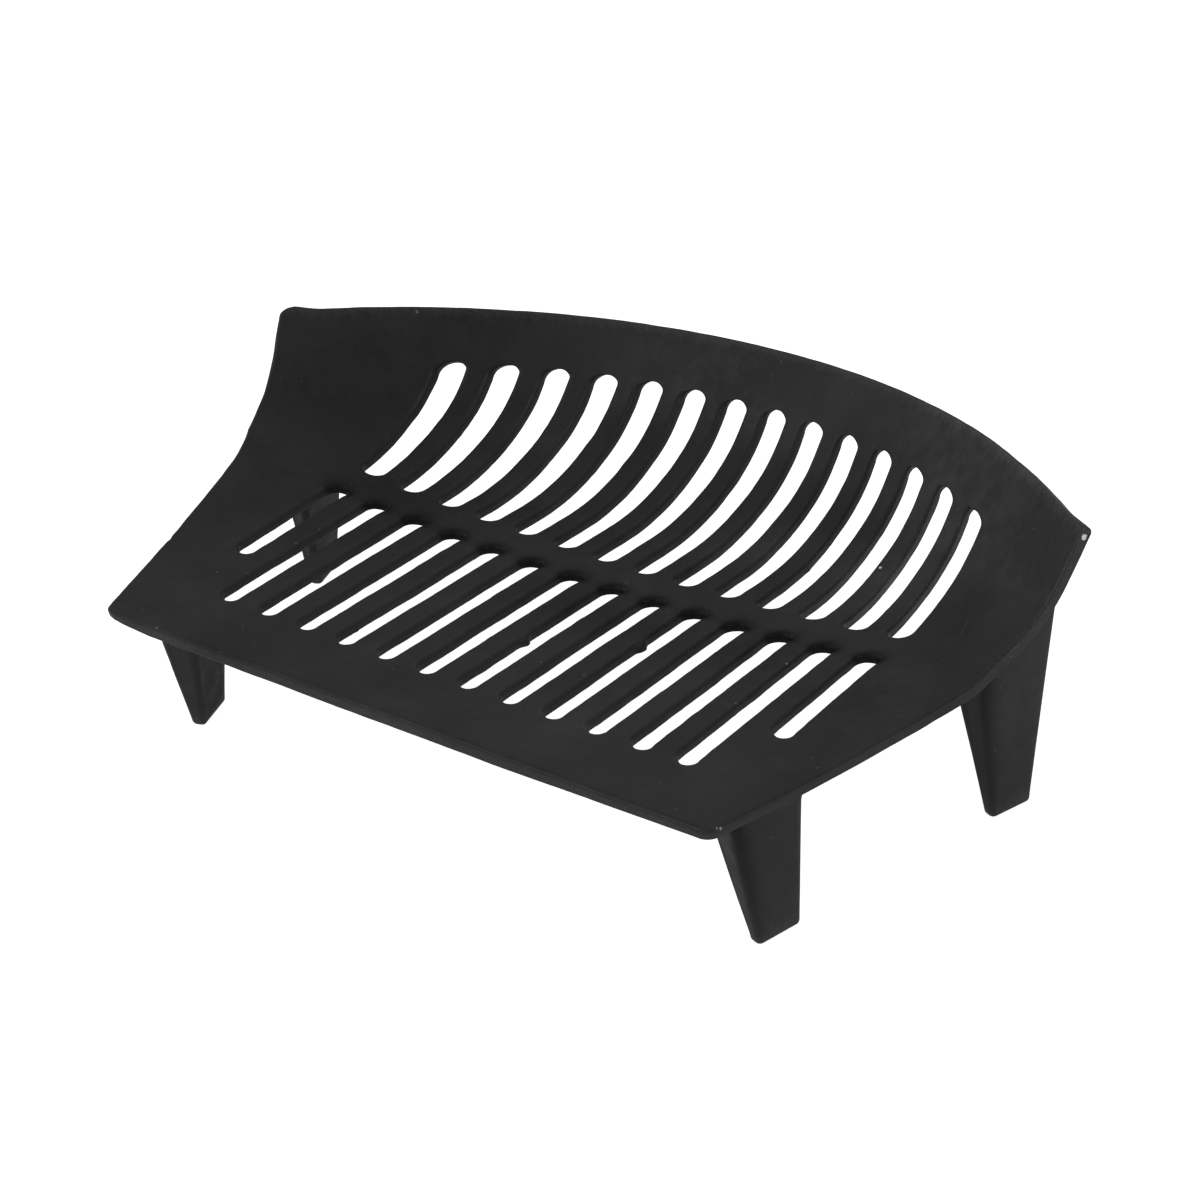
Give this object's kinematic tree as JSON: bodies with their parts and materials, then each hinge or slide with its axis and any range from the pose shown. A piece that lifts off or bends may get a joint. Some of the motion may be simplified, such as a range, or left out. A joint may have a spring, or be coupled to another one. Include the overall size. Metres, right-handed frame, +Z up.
{
  "type": "log grate",
  "caption": "Free-standing cast-iron log grate: a slotted, curved bed with a raised, bowed front on tapered legs.",
  "frame": {"origin": "on the ground, under the middle of the outline", "axes": "+X across the grate, -Y towards the straight back edge, +Y towards the raised bowed front, +Z up"},
  "size_m": [0.3916, 0.2668, 0.1201],
  "materials": {
    "cast_iron": "semi-matt black stove paint on a fine as-cast surface, worn on the edges and the feet"
  },
  "bodies": {
    "root": {"grate_bed": "cast_iron", "rear_leg_left": "cast_iron", "rear_leg_right": "cast_iron", "front_leg_left": "cast_iron", "front_leg_right": "cast_iron"}
  },
  "joints": []
}
